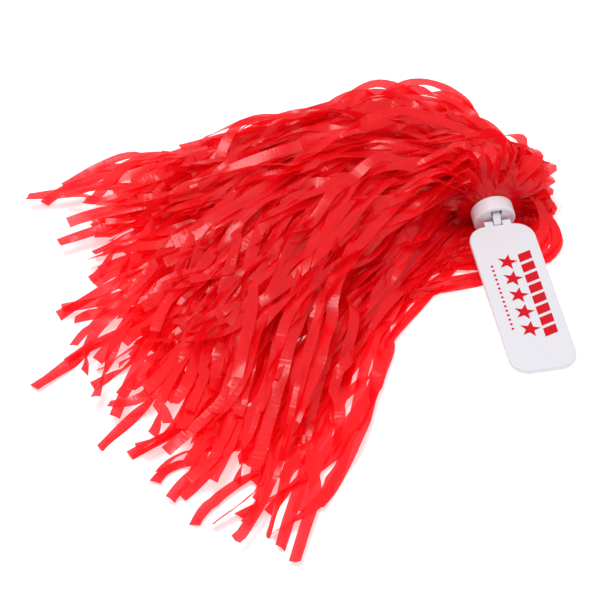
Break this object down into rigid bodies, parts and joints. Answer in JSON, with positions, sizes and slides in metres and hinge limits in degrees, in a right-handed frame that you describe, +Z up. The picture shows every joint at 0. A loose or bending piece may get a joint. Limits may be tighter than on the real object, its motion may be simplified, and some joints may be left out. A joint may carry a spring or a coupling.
{
  "type": "cheer pom pom",
  "caption": "Cheer pom pom: slit red plastic-film streamers gathered in a round cap, with a flat paddle handle hinged to the cap by a tie strap.",
  "frame": {"origin": "centre of the whole outline's bounding box, on the table plane", "axes": "+Z up from the table; the paddle points along -Y and its hinge pin lies along X; the streamers are swept towards -X"},
  "size_m": [0.369, 0.3932, 0.066],
  "materials": {
    "white_plastic": "satin moulded",
    "strap_nylon": "natural nylon",
    "print_ink": "pad-printed ink",
    "pin_steel": "drawn wire",
    "red_film": "thin translucent vinyl film"
  },
  "bodies": {
    "hub": {"cap": "white_plastic", "tie_strap": "strap_nylon", "gathered_root": "red_film"},
    "handle": {"paddle": "white_plastic", "paddle_print": "print_ink", "hinge_pin": "pin_steel"},
    "streamers": {"streamer_sheet_01": "red_film", "streamer_sheet_02": "red_film", "streamer_sheet_03": "red_film", "streamer_sheet_04": "red_film", "streamer_sheet_05": "red_film", "streamer_sheet_06": "red_film", "streamer_sheet_07": "red_film", "streamer_sheet_08": "red_film", "streamer_sheet_09": "red_film", "streamer_sheet_10": "red_film", "streamer_sheet_11": "red_film", "streamer_sheet_12": "red_film", "streamer_sheet_13": "red_film", "streamer_sheet_14": "red_film", "streamer_sheet_15": "red_film", "streamer_sheet_16": "red_film"}
  },
  "joints": [
    {"name": "handle_hinge", "type": "hinge", "parent": "hub", "child": "handle", "pos_m": [0.14547, 0.06517, 0.01645], "axis": [-1, 0, 0], "range_deg": [0, 65]},
    {"name": "streamer_sweep", "type": "hinge", "parent": "hub", "child": "streamers", "pos_m": [0.14547, 0.07877, 0.01648], "axis": [0, 0, -1], "range_deg": [0, 30]}
  ]
}
